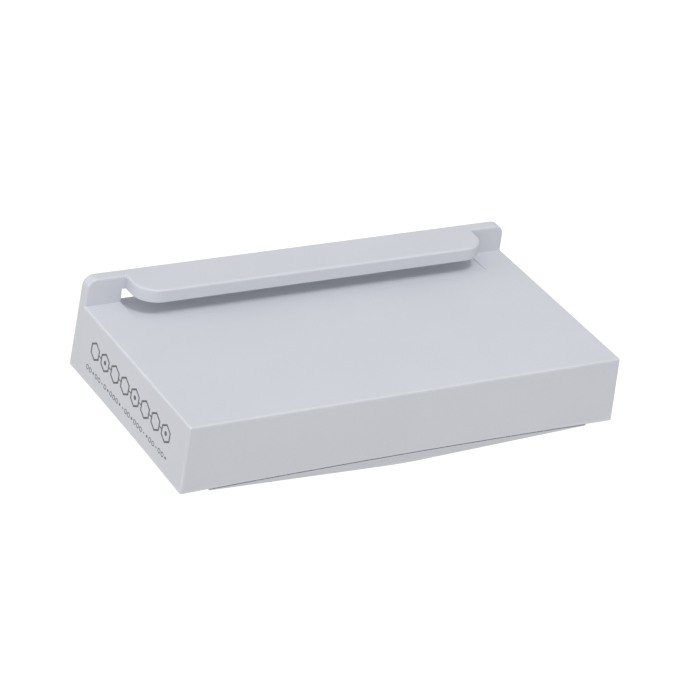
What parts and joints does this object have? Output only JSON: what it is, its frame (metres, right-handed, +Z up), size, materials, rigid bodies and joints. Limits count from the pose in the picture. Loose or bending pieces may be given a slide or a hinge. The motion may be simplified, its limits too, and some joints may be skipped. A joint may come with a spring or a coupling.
{
  "type": "clip-on carbon air purifier",
  "caption": "Passive air purifier: shallow moulded box with a hanger plate and forward hook lip, a hinged slotted bottom cover that bows down, and a carbon cartridge inside.",
  "frame": {"origin": "middle of the box round the part, on the surface that the bowed cover rests on", "axes": "+X along the width, to the right seen from the front; +Y from the front wall to the hanger plate; +Z up"},
  "size_m": [0.1214, 0.0616, 0.0269],
  "materials": {
    "housing_plastic": "satin lavender-grey moulding, fine spark-eroded texture",
    "cover_plastic": "satin lavender-grey moulding, a shade darker than the housing",
    "pin_steel": "ground stainless steel",
    "cartridge_plastic": "natural white polypropylene",
    "fleece": "thin white non-woven",
    "activated_carbon": "dull black granules",
    "ribbon": "woven grey-blue tape"
  },
  "bodies": {
    "housing": {"housing": "housing_plastic", "hinge_pin_left": "pin_steel", "hinge_pin_right": "pin_steel", "cartridge_tray": "cartridge_plastic", "cartridge_grid": "cartridge_plastic", "dust_fleece": "fleece", "carbon_bed_1": "activated_carbon", "carbon_bed_2": "activated_carbon", "carbon_bed_3": "activated_carbon", "carbon_bed_4": "activated_carbon", "pull_tab": "ribbon"},
    "cover": {"vent_cover": "cover_plastic"}
  },
  "joints": [
    {"name": "cover_hinge", "type": "hinge", "parent": "housing", "child": "cover", "pos_m": [0, 0.02775, 0.0041], "axis": [1, 0, 0], "range_deg": [0, 100]}
  ]
}
